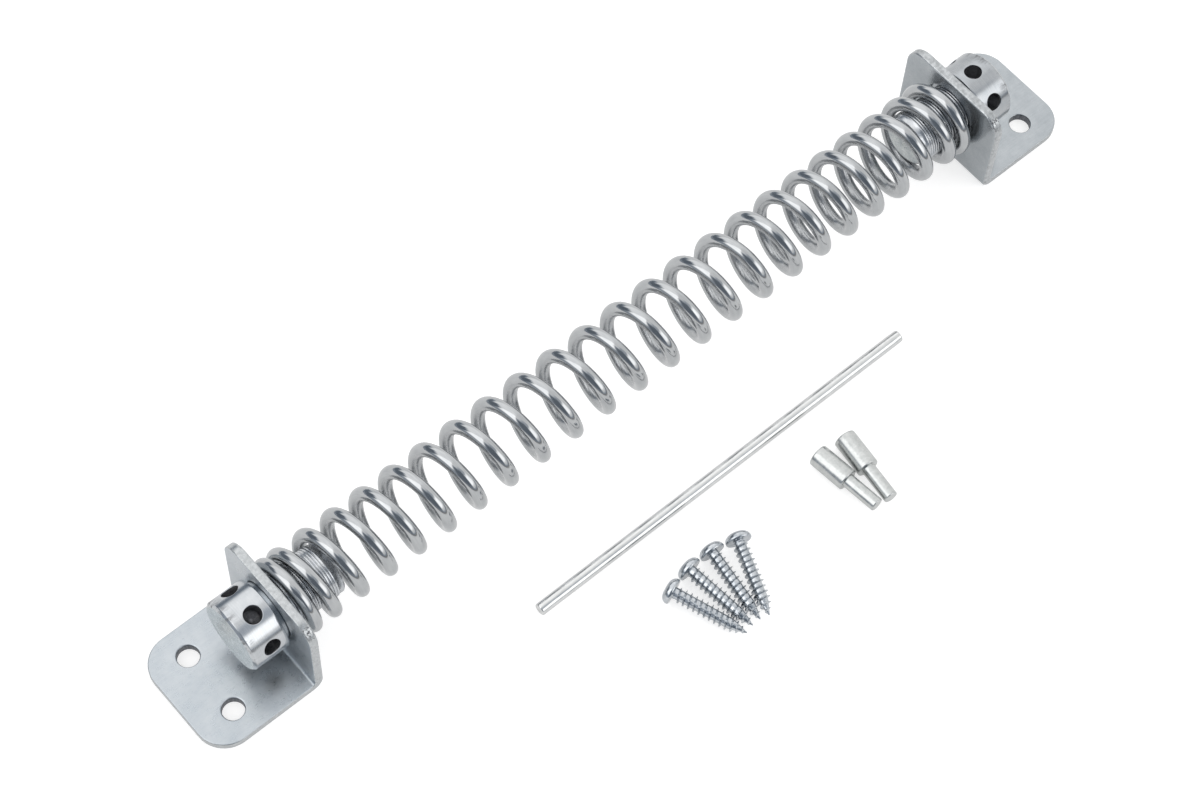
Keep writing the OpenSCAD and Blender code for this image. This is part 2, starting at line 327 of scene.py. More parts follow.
def head_side(low, high, centres):
    """The side of the head laid out flat, as (length round it, distance from the outer face)."""
    full, wide = 2 * math.pi * head_r, hole_r + hole_rim
    first_ring, second_ring, clear = 0.15, 0.45, 0.75
    heights = np.linspace(low, high, side_levels)
    loops = [[(full * i / around, low) for i in range(around + 1)]
             + [(full, z) for z in heights[1:-1]]
             + [(full * i / around, high) for i in range(around, -1, -1)]
             + [(0.0, z) for z in heights[-2:0:-1]]]

    def hole_line(s, r):
        return [(s + head_r * math.asin(r * math.sin(a) / head_r), hole_in + r * math.cos(a))
                for a in hole_fan]
    marks = []
    for centre in centres:
        loops.append(hole_line(centre, wide))
        for extra in (first_ring, second_ring):
            marks += [q for q in hole_line(centre, wide + extra) if low < q[1] < high]
    for i in range(1, around):
        for z in heights[1:-1]:
            s = full * i / around
            if all(math.hypot(s - centre, z - hole_in) > wide + clear for centre in centres):
                marks.append((s, z))
    return fill(loops, marks)


def pin_hole(angle):
    """Rings down one hole: a rolled rim, a straight wall and a drilled bottom."""
    out = np.array([math.cos(angle), math.sin(angle), 0])
    side = np.array([-math.sin(angle), math.cos(angle), 0])

    def ring(r, drop=0.0, level=None):
        points = []
        for a in hole_fan:
            v, z = r * math.sin(a), hole_in + r * math.cos(a)
            h = math.sqrt(head_r ** 2 - v * v) - drop if level is None else level
            points.append(out * h + side * v + np.array([0, 0, z]))
        return points
    rolled, bottom = [math.pi / 2 * k / 5 for k in range(6)], head_r - hole_depth
    rings = [ring(hole_r + hole_rim * (1 - math.sin(b)), hole_rim * (1 - math.cos(b))) for b in rolled]
    rings += [ring(hole_r, level=h) for h in (*hole_wall, bottom + 0.05)]
    return rings + [ring(hole_r * k, level=bottom - (1 - k) * hole_cone) for k in (0.98, 0.6, 0.3, 0.0)]


def plug(name, hole_turn, place):
    """Made along Z from the head's outer face, then laid along X."""
    shape = Shape()
    front, rear = plug_profiles()
    low, high = front[-1][1], rear[0][1]
    seam = math.radians(hole_turn + 180 / hole_count)
    shape.lathe(front, around, seam)
    shape.lathe(rear, around, seam)
    centres = [2 * math.pi * head_r * (k + 0.5) / hole_count for k in range(hole_count)]
    co, tris = head_side(low, high, centres)
    shape.soup([(head_r * math.cos(seam + s / head_r), head_r * math.sin(seam + s / head_r), z)
                for s, z in co], tris)
    for centre in centres:
        shape.grid(pin_hole(seam + centre / head_r))
    obj = shape.mesh(name, place)

    # The side of the head gets true round normals
    mesh, inverse, close = obj.data, place.inverted(), 1e-3
    normals = []
    for v in mesh.vertices:
        q = inverse @ (v.co / MM)
        if abs(math.hypot(q.x, q.y) - head_r) < close and low - close <= q.z <= high + close:
            normals.append((place.to_3x3() @ Vector((q.x, q.y, 0))).normalized())
        else:
            normals.append(Vector((0, 0, 0)))
    mesh.normals_split_custom_set_from_vertices(normals)

    # Materials: 0 turned sides, 1 drilled holes, darkened as painted shade, 2 ridged shank, 3 faced ends
    skin, facing, hole_skin = 0.1, 0.98, 0.05
    for poly in mesh.polygons:
        q = inverse @ (poly.center / MM)
        deep = math.hypot(q.x, q.y) < math.sqrt(head_r ** 2 - hole_r ** 2) - skin
        if abs(poly.normal.x) > facing and (q.z < skin or q.z > plug_l - skin):
            poly.material_index = 3
        elif q.z > neck_end + skin:
            poly.material_index = 2
        else:
            poly.material_index = int(deep and abs(q.z - hole_in) < hole_r + hole_skin)
    return obj


# Spring: one smooth wire

rings_a_turn, wire_sides = 72, 28
last_ring = round(turns * rings_a_turn)
wire_end_r, wire_end_flat = 0.35, 0.15


def ease(t):
    t = min(1.0, max(0.0, t))
    return t * t * (3 - 2 * t)


def spring(name):
    turns_in = [min(k + 0.5, last_ring - k - 0.5) / rings_a_turn for k in range(last_ring)]
    gripping = np.array([close_pitch + (plug_pitch - close_pitch) * ease((t - close_turns) / close_fade)
                         for t in turns_in])
    opening = np.array([min(1.0, max(0.0, (t - 1) / open_turns)) for t in turns_in])
    length = flange_gap - 2 * (wire_r + spring_end_gap)
    pitch = gripping + opening * (length * rings_a_turn - gripping.sum()) / opening.sum()
    x = np.concatenate([[0.0], np.cumsum(pitch) / rings_a_turn]) + flange_back_x + spring_end_gap + wire_r
    theta = np.radians(coil_start) + 2 * math.pi * np.arange(last_ring + 1) / rings_a_turn

    # Middle, direction and two cross directions of the wire at each ring
    centre = np.stack([x, coil_r * np.cos(theta), axis_h + coil_r * np.sin(theta)], axis=1)
    slope = np.concatenate([[pitch[0]], (pitch[1:] + pitch[:-1]) / 2, [pitch[-1]]])
    run = np.stack([slope / (2 * math.pi), -coil_r * np.sin(theta), coil_r * np.cos(theta)], axis=1)
    run /= np.linalg.norm(run, axis=1)[:, None]
    out = np.stack([np.zeros_like(theta), np.cos(theta), np.sin(theta)], axis=1)
    across = np.cross(run, out)
    along = np.concatenate([[0.0], np.cumsum(np.linalg.norm(np.diff(centre, axis=0), axis=1))])
    rows = []

    def row(i, r, shift=0.0):
        turn = 2 * math.pi * np.arange(wire_sides) / wire_sides
        spoke = np.cos(turn)[:, None] * out[i] + np.sin(turn)[:, None] * across[i]
        rows.append(centre[i] + shift * run[i] + r * spoke)
    flat_r = wire_r - wire_end_r
    ends = [(math.sin(t), math.cos(t)) for t in np.linspace(0, math.pi / 2, 5)]
    row(0, 0.0)
    row(0, flat_r - wire_end_flat)
    for s, c in ends:
        row(0, flat_r + wire_end_r * s, wire_end_r * (1 - c))
    for i in range(1, last_ring - 1):
        row(i, wire_r)
    for s, c in reversed(ends):
        row(last_ring, flat_r + wire_end_r * s, -wire_end_r * (1 - c))
    row(last_ring, flat_r - wire_end_flat)
    row(last_ring, 0.0)
    shape = Shape()
    shape.grid(rows)
    obj = shape.mesh(name, sharp=50.0, weld=1e-5)

    # Layout for the drawn wire: length along it, and length round it, in metres
    mesh = obj.data
    co = np.array([v.co for v in mesh.vertices]) / MM
    angle = np.arctan2(co[:, 2] - axis_h, co[:, 1])
    from_start = (angle - theta[0]) / (2 * math.pi)
    first = np.round(from_start * rings_a_turn).astype(int) % rings_a_turn
    nearest = np.zeros(len(co), int)
    for i in range(len(co)):
        options = np.arange(first[i], last_ring + 1, rings_a_turn)
        nearest[i] = options[np.argmin(np.abs(x[options] - co[i, 0]))]
    spoke = co - centre[nearest]
    round_angle = np.arctan2((spoke * across[nearest]).sum(axis=1), (spoke * out[nearest]).sum(axis=1))
    corners = np.zeros(len(mesh.loops), int)
    mesh.loops.foreach_get("vertex_index", corners)
    table = np.stack([along[nearest][corners], round_angle[corners] * wire_r], axis=1) * MM
    for poly in mesh.polygons:
        ids = list(poly.loop_indices)
        v = table[ids, 1]
        if v.max() - v.min() > math.pi * wire_r * MM:
            table[[i for i in ids if table[i, 1] < 0], 1] += 2 * math.pi * wire_r * MM
    mesh.uv_layers.new(name="wire").data.foreach_set("uv", table.astype(np.float32).ravel())
    return obj


# Loose pieces

def spin(degrees, axis="Z"):
    return Matrix.Rotation(math.radians(degrees), 4, axis)


along_x = spin(90, "Y")
rod_around, screw_around, screw_sharp = 96, 60, 32.0
bar_r, bar_l, bar_x, bar_side = 2.0, 145.0, 87.3, 42.7
thick_r, thin_r, thick_l, thin_l = 3.6, 2.25, 12.4, 11.7
pins_x, pins_y, pins_apart, pins_spread = 189.2, -58.1, 10.2, 12.5
pins_turn, pins_shift = -1.0, 0.8
screw_head_r, screw_head_h, thread_r, core_r = 4.1, 2.8, 2.5, 1.7
thread_pitch, screw_l, point_l, rim_up = 1.75, 24.5, 5.5, 0.5

# The screws lie as a fan, tilted so that head and thread both rest on the ground
fan_x, fan_y, fan_r, fan_gap = 133.5, -99.0, 37.0, 0.7
fan_reach = fan_r + rim_up
fan_step = math.degrees(2 * (math.atan(screw_head_r / fan_reach)
                             + math.asin(fan_gap / 2 / math.hypot(fan_reach, screw_head_r))))
tilt = math.atan((screw_head_r - thread_r) / (screw_l - point_l + rim_up))
screw_z = screw_head_r * math.cos(tilt) - rim_up * math.sin(tilt)


def turned(name, profile, place):
    shape = Shape()
    shape.lathe(profile, rod_around)
    return shape.mesh(name, place)


def bar():
    end, rounding = 3.0, 0.4
    head = soften([(0, 0), (bar_r, 0), (bar_r, end)], [0, rounding, 0])
    tail = soften([(bar_r, bar_l - end), (bar_r, bar_l), (0, bar_l)], [0, rounding, 0])
    path = [(0, 0), (bar_r / 2, 0)] + head[1:-1]
    path += [(bar_r, z) for z in np.linspace(end, bar_l - end, 40)]
    path += tail[1:-1] + [(bar_r / 2, bar_l), (0, bar_l)]
    return turned("tommy_bar_rod", path, Matrix.Translation((bar_x, -bar_side, bar_r)) @ along_x)


def pin(name, side):
    longest_step = 1.2
    path = soften([(0, 0), (thick_r, 0), (thick_r, thick_l), (thin_r, thick_l),
                   (thin_r, thick_l + thin_l), (0, thick_l + thin_l)], [0, 0.4, 0.4, 0.15, 0.4, 0], 5)
    dense = []
    for (r0, z0), (r1, z1) in zip(path, path[1:]):
        n = max(1, int(math.hypot(r1 - r0, z1 - z0) / longest_step))
        dense += [(r0 + (r1 - r0) * k / n, z0 + (z1 - z0) * k / n) for k in range(n)]
    dense.append(path[-1])
    place = (Matrix.Translation((pins_x, pins_y, thick_r)) @ spin(pins_turn)
             @ Matrix.Translation((side * pins_apart / 2, -side * pins_shift / 2, 0))
             @ spin(-90 - side * pins_spread / 2) @ along_x)
    return turned(name, dense, place)


def screw_thread(shape):
    """Shank and thread: one skin whose radius follows a helix and tapers to the point."""
    thread_from, run_in, station_step, point_gap = 0.35, 1.4, 0.1, 0.02
    point_r, point_power, crest_hold = 0.04, 0.85, 1.4
    ridge_half, ridge_flat = 0.19, 1.2
    rows = []
    for z in np.arange(thread_from, screw_l - point_gap, station_step):
        taper = min(1.0, max(0.0, (screw_l - z) / point_l)) ** point_power
        core = point_r + (core_r - point_r) * taper
        crest = min(1.0, (z - thread_from) / run_in) * (thread_r - core_r) * min(1.0, taper * crest_hold)
        row = []
        for i in range(screw_around):
            a = 2 * math.pi * i / screw_around
            t = (z / thread_pitch - a / (2 * math.pi)) % 1.0
            r = core + crest * min(1.0, max(0.0, 1 - abs(t - 0.5) / ridge_half) * ridge_flat)
            row.append((r * math.cos(a), r * math.sin(a), z))
        rows.append(row)
    shape.grid(rows + [[(0, 0, screw_l)] * screw_around])


def screw_head(shape):
    """Underside with a small fillet, rolled rim and flattened dome."""
    under = [(core_r, 0.35), (core_r + 0.02, 0.2), (core_r + 0.2, 0.0), (core_r + 0.6, 0.0),
             (screw_head_r - 0.6, 0.0), (screw_head_r - 0.35, 0.0), (screw_head_r - 0.17, -0.06),
             (screw_head_r - 0.06, -0.22), (screw_head_r, -rim_up)]
    shape.lathe(under, screw_around)
    dome_steps, dome_power = 15, 0.6
    rise = [math.pi / 2 * k / dome_steps for k in range(dome_steps)]
    dome = [(screw_head_r * math.cos(a) ** dome_power, -rim_up - (screw_head_h - rim_up) * math.sin(a))
            for a in rise]
    shape.lathe(dome + [(dome[-1][0] / 2, -screw_head_h), (0.0, -screw_head_h)], screw_around)


def cut_recess(obj):
    """Cross recess: two crossed wedges cut from the head."""
    wedge = ((-screw_head_h - 0.5, 2.62, 0.62), (-screw_head_h + 1.7, 1.15, 0.4))
    for turn in (math.radians(45), math.radians(135)):
        c, s = math.cos(turn), math.sin(turn)
        part, ends = Shape(), []
        for z, half_l, half_w in wedge:
            corners = ((-half_l, -half_w), (half_l, -half_w), (half_l, half_w), (-half_l, half_w))
            ends.append([(c * x - s * y, s * x + c * y, z) for x, y in corners])
        part.grid(ends)
        for end in ends:
            part.soup(end, [(0, 1, 2, 3)])
        tool = part.mesh("recess_tool")
        cut = obj.modifiers.new("recess", "BOOLEAN")
        cut.operation, cut.solver, cut.object = "DIFFERENCE", "EXACT", tool
        bpy.context.view_layer.update()
        with_cut = obj.evaluated_get(bpy.context.evaluated_depsgraph_get())
        solid = bpy.data.meshes.new_from_object(with_cut)
        obj.modifiers.clear()
        obj.data = solid
        bpy.data.objects.remove(tool)


def screw(name, index):
    shape = Shape()
    screw_thread(shape)
    screw_head(shape)
    obj = shape.mesh(name, sharp=screw_sharp)
    cut_recess(obj)
    obj.data.name = name
    turn = 90 + (1.5 - index) * fan_step
    a = math.radians(turn)
    place = (Matrix.Translation((fan_x + fan_r * math.cos(a), fan_y + fan_r * math.sin(a), screw_z))
             @ spin(turn + 180) @ Matrix.Rotation(tilt, 4, "Y") @ along_x)
    obj.data.transform(Matrix.Scale(MM, 4) @ place @ Matrix.Scale(1 / MM, 4))
    shade(obj.data, screw_sharp)
    return obj


# Materials: bright zinc plate

class Nodes:
    """A material's nodes, with a short call for each kind that is used here."""

    def __init__(self, name):
        self.mat = bpy.data.materials.new(name)
        self.mat.use_nodes = True
        self.tree = self.mat.node_tree
        self.tree.nodes.clear()
        self.out = self.add("ShaderNodeOutputMaterial")

    def add(self, kind, **values):
        node = self.tree.nodes.new(kind)
        for key, value in values.items():
            setattr(node, key, value)
        return node

    def link(self, a, b):
        self.tree.links.new(a, b)

    def put(self, value, socket):
        if isinstance(value, bpy.types.NodeSocket):
            self.link(value, socket)
        else:
            socket.default_value = value

    def math(self, op, a, b=0.0):
        node = self.add("ShaderNodeMath", operation=op)
        self.put(a, node.inputs[0])
        self.put(b, node.inputs[1])
        return node.outputs[0]

    def shares(self, *parts):
        """The sum of (value, share) pairs."""
        products = [self.math("MULTIPLY", value, share) for value, share in parts]
        total = products[0]
        for product in products[1:]:
            total = self.math("ADD", total, product)
        return total

    def coords(self, kind="Object", scale=(1, 1, 1), place=(0, 0, 0)):
        """Metres in the object's frame, or along and round the wire."""
        if kind == "wire":
            source = self.add("ShaderNodeUVMap", uv_map="wire").outputs[0]
        else:
            source = self.add("ShaderNodeTexCoord").outputs[kind]
        mapping = self.add("ShaderNodeMapping")
        self.link(source, mapping.inputs[0])
        mapping.inputs["Location"].default_value = place
        mapping.inputs["Scale"].default_value = scale
        return mapping.outputs[0]

    def parts(self, vector):
        node = self.add("ShaderNodeSeparateXYZ")
        self.link(vector, node.inputs[0])
        return node.outputs

    def length(self, a, b):
        """The length of the vector (a, b)."""
        return self.math("SQRT", self.math("ADD", self.math("POWER", a, 2.0), self.math("POWER", b, 2.0)))

    def noise(self, vector, scale, detail, rough):
        node = self.add("ShaderNodeTexNoise")
        self.link(vector, node.inputs["Vector"])
        for key, value in (("Scale", scale), ("Detail", detail), ("Roughness", rough)):
            node.inputs[key].default_value = value
        return node.outputs[0]

    def grain(self, scale=5200.0):
        """The finest speckle of the plating, about a fifth of a millimetre across."""
        return self.noise(self.coords(), scale, 2.0, 0.6)

    def spread(self, value, low, high, to_low, to_high):
        """Takes low to to_low and high to to_high, and holds both ends."""
        node = self.add("ShaderNodeMapRange")
        self.link(value, node.inputs[0])
        for socket, number in zip(node.inputs[1:5], (low, high, to_low, to_high)):
            socket.default_value = number
        return node.outputs[0]

    def near(self, vector, point, core, reach):
        """1 within core of the point, fading to 0 at reach."""
        node = self.add("ShaderNodeVectorMath", operation="DISTANCE")
        self.link(vector, node.inputs[0])
        node.inputs[1].default_value = point
        return self.spread(node.outputs["Value"], core, reach, 1, 0)

    def tint(self, value, low, high, dark, light):
        """dark where the value is low, light where it is high."""
        node = self.add("ShaderNodeMix", data_type="RGBA")
        self.link(self.spread(value, low, high, 0, 1), node.inputs[0])
        node.inputs[6].default_value = (*dark, 1)
        node.inputs[7].default_value = (*light, 1)
        return node.outputs[2]

    def blend(self, fac, colour, over):
        """A colour socket, covered by a plain colour where fac is 1."""
        node = self.add("ShaderNodeMix", data_type="RGBA")
        self.link(fac, node.inputs[0])
        self.link(colour, node.inputs[6])
        node.inputs[7].default_value = (*over, 1)
        return node.outputs[2]

    def relief(self, *layers):
        """Bumps given as (height, strength, distance in metres), each on top of the last."""
        normal = None
        for height, strength, distance in layers:
            node = self.add("ShaderNodeBump")
            node.inputs["Strength"].default_value = strength
            node.inputs["Distance"].default_value = distance
            self.link(height, node.inputs["Height"])
            if normal is not None:
                self.link(normal, node.inputs["Normal"])
            normal = node.outputs[0]
        return normal

    def metal(self, colour, rough, normal, metallic=1.0):
        """The finished material of a metal."""
        shader = self.add("ShaderNodeBsdfPrincipled")
        shader.inputs["Metallic"].default_value = metallic
        for socket, name in ((colour, "Base Color"), (rough, "Roughness"), (normal, "Normal")):
            self.link(socket, shader.inputs[name])
        self.link(shader.outputs[0], self.out.inputs[0])
        return self.mat


def lin(*rgb):
    """A colour as a screen shows it, made linear."""
    return tuple(c / 12.92 if c <= 0.04045 else ((c + 0.055) / 1.055) ** 2.4 for c in rgb)


plated = 0.86
run_grey, scuff_grey = lin(0.34, 0.34, 0.36), lin(0.36, 0.36, 0.37)


def plating_run(m):
    """Dark specks where the plating ran and set, at the near corner of each flange."""
    flat, corner_in, core, reach = m.coords(), 0.3 * flange_corner_r, 0.0012, 0.0030
    y, z = (corner_in - plate_w / 2) * MM, (flange_h - corner_in) * MM
    corners = [m.near(flat, (x * MM, y, z), core, reach)
               for x in (flange_x + plate_t / 2, line_gap - flange_x - plate_t / 2)]
    specks = m.spread(m.noise(flat, 1500.0, 3.0, 0.6), 0.53, 0.60, 0, 1)
    return m.math("MULTIPLY", specks, m.math("MAXIMUM", *corners))


def sheared_zinc(name, dark, light):
    """Cut edges of the plates: dented and mottled."""
    m = Nodes(name)
    dents = m.noise(m.coords(), 900.0, 4.0, 0.62)
    run = plating_run(m)
    colour = m.blend(run, m.tint(dents, 0.38, 0.62, lin(*dark), lin(*light)), run_grey)
    normal = m.relief((dents, 0.16, 0.00006), (run, 0.6, 0.0002), (m.grain(), 0.3, 0.00002))
    return m.metal(colour, m.spread(dents, 0.35, 0.65, 0.31, 0.21), normal, plated)


def plate_zinc(name, dark, light, smooth, rough):
    """Faces of the plates: cloudy, with faint marks of rolling along X."""
    m = Nodes(name)
    flat, grain = m.coords(), m.grain()
    cloud = m.noise(flat, 95.0, 3.0, 0.55)
    patch = m.noise(flat, 420.0, 4.0, 0.6)
    rolled = m.noise(m.coords(scale=(1, 14, 14)), 160.0, 3.0, 0.55)
    run = plating_run(m)
    mix = m.shares((cloud, 0.45), (patch, 0.35), (rolled, 0.2))
    colour = m.blend(run, m.tint(mix, 0.36, 0.64, lin(*dark), lin(*light)), run_grey)
    gloss = m.spread(m.shares((patch, 0.6), (grain, 0.4)), 0.3, 0.7, smooth, rough)
    return m.metal(colour, gloss, m.relief((patch, 0.25, 0.00012), (run, 0.6, 0.0002), (grain, 0.3, 0.00002)),
                   plated)


def turned_zinc(name, dark, light):
    """Turned plug: rings round the axis on the end faces, fine lines round the sides."""
    m = Nodes(name)
    flat, grain = m.coords(place=(0, 0, -axis_h * MM)), m.grain(6000.0)
    x, y, z = m.parts(flat)
    lathe = m.add("ShaderNodeCombineXYZ")
    m.link(m.length(y, z), lathe.inputs[0])
    m.link(x, lathe.inputs[1])
    lines = m.noise(lathe.outputs[0], 4200.0, 2.0, 0.65)
    cloud = m.noise(flat, 260.0, 3.0, 0.55)
    clean = m.tint(m.shares((cloud, 0.6), (lines, 0.4)), 0.35, 0.65, lin(*dark), lin(*light))
    gloss = m.spread(m.shares((cloud, 0.5), (grain, 0.5)), 0.3, 0.7, 0.12, 0.22)

    # Dark scuffs round the outer rim of the head, drawn out along the axis
    core, reach = 0.0008, 0.0036
    rims = [m.math("ABSOLUTE", m.math("SUBTRACT", x, edge * MM))
            for edge in (head_out_x, line_gap - head_out_x)]
    scuff = m.spread(m.noise(m.coords(scale=(0.3, 1, 1)), 430.0, 4.0, 0.65), 0.50, 0.62, 0, 0.75)
    worn = m.math("MULTIPLY", scuff, m.spread(m.math("MINIMUM", *rims), core, reach, 1, 0))
    return m.metal(m.blend(worn, clean, scuff_grey), m.math("ADD", gloss, m.math("MULTIPLY", worn, 0.25)),
                   m.relief((lines, 0.25, 0.00002), (grain, 0.2, 0.00001)))


def ridged_zinc():
    """The shank inside the spring, whose ridges are geometry: cloudy, with a light sheen."""
    m = Nodes("ridged_shank")
    cloud = m.noise(m.coords(), 420.0, 3.0, 0.55)
    return m.metal(m.tint(cloud, 0.35, 0.65, lin(0.72, 0.735, 0.755), lin(0.81, 0.82, 0.83)),
                   m.spread(cloud, 0.3, 0.7, 0.16, 0.28), m.relief((m.grain(), 0.25, 0.000015)), 0.9)


def faced_zinc():
    """Ends of the plugs: faced off and dull, mottled by the plating."""
    m = Nodes("faced_end")
    flat = m.coords()
    cloud = m.noise(flat, 330.0, 4.0, 0.62)
    dents = m.noise(flat, 1500.0, 4.0, 0.65)
    mix = m.shares((cloud, 0.5), (dents, 0.5))
    return m.metal(m.tint(mix, 0.38, 0.62, lin(0.715, 0.74, 0.75), lin(0.83, 0.845, 0.84)),
                   m.spread(mix, 0.35, 0.65, 0.36, 0.2),
                   m.relief((dents, 0.4, 0.00007), (m.grain(5600.0), 0.25, 0.000015)), plated)


def drilled_wall_painted_shade():
    """Walls of the drilled holes: dull and scored, and darker than the plating as painted shade."""
    m = Nodes("drilled_hole_painted_shade")
    scores = m.noise(m.coords(scale=(1, 1, 6)), 1500.0, 3.0, 0.6)
    return m.metal(m.tint(scores, 0.35, 0.65, lin(0.46, 0.465, 0.48), lin(0.64, 0.64, 0.65)),
                   m.spread(m.grain(), 0.3, 0.7, 0.38, 0.55), m.relief((scores, 0.4, 0.00004)))


def punched_wall_painted_shade():
    """Walls of the screw holes: torn, with streaks from face to face, in a dark colour that is painted shade.
    """
    m = Nodes("punched_hole_painted_shade")
    tears = m.noise(m.coords(scale=(1, 1, 0.15)), 1900.0, 3.0, 0.6)
    return m.metal(m.tint(tears, 0.35, 0.65, lin(0.36, 0.37, 0.39), lin(0.52, 0.53, 0.55)),
                   m.spread(m.grain(), 0.3, 0.7, 0.32, 0.5), m.relief((tears, 0.4, 0.00005)))


def wire_zinc():
    """Drawn wire: fine lines along it. Its side that faces the spring's axis is duller."""
    m = Nodes("spring_wire")
    drawn = m.noise(m.coords("wire", scale=(1, 40, 1)), 60.0, 4.0, 0.6)
    fine = m.noise(m.coords("wire", scale=(1, 16, 1)), 520.0, 3.0, 0.6)
    blotch = m.noise(m.coords("wire", scale=(1, 2.2, 1)), 230.0, 3.0, 0.55)
    mix = m.shares((drawn, 0.4), (blotch, 0.6))
    outward = m.math("COSINE", m.math("DIVIDE", m.parts(m.coords("wire"))[1], wire_r * MM))
    gloss = m.spread(m.shares((blotch, 0.6), (fine, 0.4)), 0.3, 0.7, 0.07, 0.14)
    return m.metal(m.tint(mix, 0.34, 0.66, lin(0.683, 0.692, 0.702), lin(0.745, 0.753, 0.758)),
                   m.math("ADD", gloss, m.spread(outward, -0.55, 0.25, 0.17, 0.0)),
                   m.relief((drawn, 0.2, 0.00003), (fine, 0.2, 0.000012), (m.grain(), 0.2, 0.00001)))


def rod_zinc():
    """The tommy bar: pale, streaked along its length."""
    m = Nodes("zinc_rod")
    streaks = m.noise(m.coords(scale=(1, 22, 22)), 190.0, 4.0, 0.6)
    cloud = m.noise(m.coords(), 380.0, 4.0, 0.6)
    mix = m.shares((streaks, 0.5), (cloud, 0.5))
    return m.metal(m.tint(mix, 0.35, 0.65, lin(0.80, 0.805, 0.805), lin(0.87, 0.873, 0.872)),
                   m.spread(mix, 0.3, 0.7, 0.1, 0.18),
                   m.relief((streaks, 0.3, 0.00004), (cloud, 0.25, 0.00006), (m.grain(), 0.25, 0.000015)))


def pin_zinc():
    """The stop pins: duller than the bar, with small dents."""
    m = Nodes("pin_zinc")
    flat = m.coords()
    cloud = m.noise(flat, 520.0, 4.0, 0.6)
    dents = m.noise(flat, 1300.0, 3.0, 0.6)
    mix = m.shares((cloud, 0.6), (dents, 0.4))
    return m.metal(m.tint(mix, 0.35, 0.65, lin(0.72, 0.73, 0.728), lin(0.80, 0.807, 0.803)),
                   m.spread(mix, 0.3, 0.7, 0.16, 0.27),
                   m.relief((dents, 0.35, 0.00006), (m.grain(6000.0), 0.25, 0.000015)))


def screw_zinc():
    """The screws: bright and slightly blue."""
    m = Nodes("screw_zinc")
    cloud = m.noise(m.coords(), 700.0, 4.0, 0.6)
    return m.metal(m.tint(cloud, 0.35, 0.65, lin(0.66, 0.682, 0.705), lin(0.80, 0.814, 0.828)),
                   m.spread(cloud, 0.3, 0.7, 0.05, 0.13),
                   m.relief((cloud, 0.3, 0.00006), (m.grain(6500.0), 0.2, 0.000012)))


# The pieces, each on its body and in place of its plain solid

mirrored = Matrix.Translation((line_gap, 0, 0)) @ Matrix.Scale(-1, 4, (1, 0, 0))
plug_place = Matrix.Translation((head_out_x, 0, axis_h)) @ along_x


def settle(obj, body, node, slot, *mats):
    for mat in mats:
        obj.data.materials.append(mat)
    if body:
        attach(obj, body)
    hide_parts(node)


pale_plate = plate_zinc("zinc_plate", (0.69, 0.718, 0.742), (0.762, 0.782, 0.798), 0.24, 0.36)
# The right bracket's plate and cut edge are darker copies of the left ones: painted shade.
painted_shade_plate = plate_zinc("zinc_plate_painted_shade", (0.638, 0.66, 0.676), (0.704, 0.722, 0.736), 0.15, 0.25)
pale_edge = sheared_zinc("cut_edge", (0.68, 0.693, 0.70), (0.755, 0.767, 0.774))
painted_shade_edge = sheared_zinc("cut_edge_painted_shade", (0.62, 0.632, 0.64), (0.74, 0.752, 0.76))
# The screw holes' walls are darkened as painted shade.
punched = punched_wall_painted_shade()
settle(bracket("left_bracket_plate", Matrix.Identity(4)), "left_bracket", "left_bracket", "zinc_plate",
       pale_plate, punched, pale_edge)
settle(bracket("right_bracket_plate", mirrored), "right_bracket", "right_bracket", "zinc_plate",
       painted_shade_plate, punched, painted_shade_edge)

# A hole is turned from upright towards -Y. along_x takes the shape's +X to -Z, so upright is at 180 degrees
left_hole, right_hole = 180 + 15, 180 - 5
pale_turned = turned_zinc("turned_zinc", (0.725, 0.74, 0.755), (0.79, 0.80, 0.81))
# The right plug's copy is darker than the left one: painted shade.
painted_shade_turned = turned_zinc("turned_zinc_painted_shade", (0.635, 0.652, 0.668), (0.705, 0.717, 0.728))
# The drilled holes' walls are darkened as painted shade.
inner = (drilled_wall_painted_shade(), ridged_zinc(), faced_zinc())
settle(plug("left_tension_plug", left_hole, plug_place), "left_plug", "left_plug", "turned_zinc",
       pale_turned, *inner)
settle(plug("right_tension_plug", right_hole, mirrored @ plug_place), "right_plug", "right_plug",
       "turned_zinc", painted_shade_turned, *inner)

coil = spring("torsion_spring")
settle(coil, None, "spring", "spring_wire", wire_zinc())
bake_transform(coil)

rod = rod_zinc()
settle(bar(), "tommy_bar", "tommy_bar", "zinc_rod", rod)
pins = pin_zinc()
settle(pin("stop_pin_near", -1), "stop_pin_1", "stop_pin_1", "zinc_rod", pins)
settle(pin("stop_pin_far", 1), "stop_pin_2", "stop_pin_2", "zinc_rod", pins)
screws = screw_zinc()
for i in range(4):
    node = "screw_%d" % (i + 1)
    settle(screw("wood_" + node, i), node, node, "screw_zinc", screws)


# Floor, light and camera, in metres

middle_x, floor_size, floor_drop = 0.16, 8.0, 0.0002
paper_end, paper_full, end_share = -0.36, -0.2, 0.3
fibre_dark, fibre_light = 0.58, 0.60
glow_end, glow_full, glow_gloss = 1.0, 0.63, 0.36


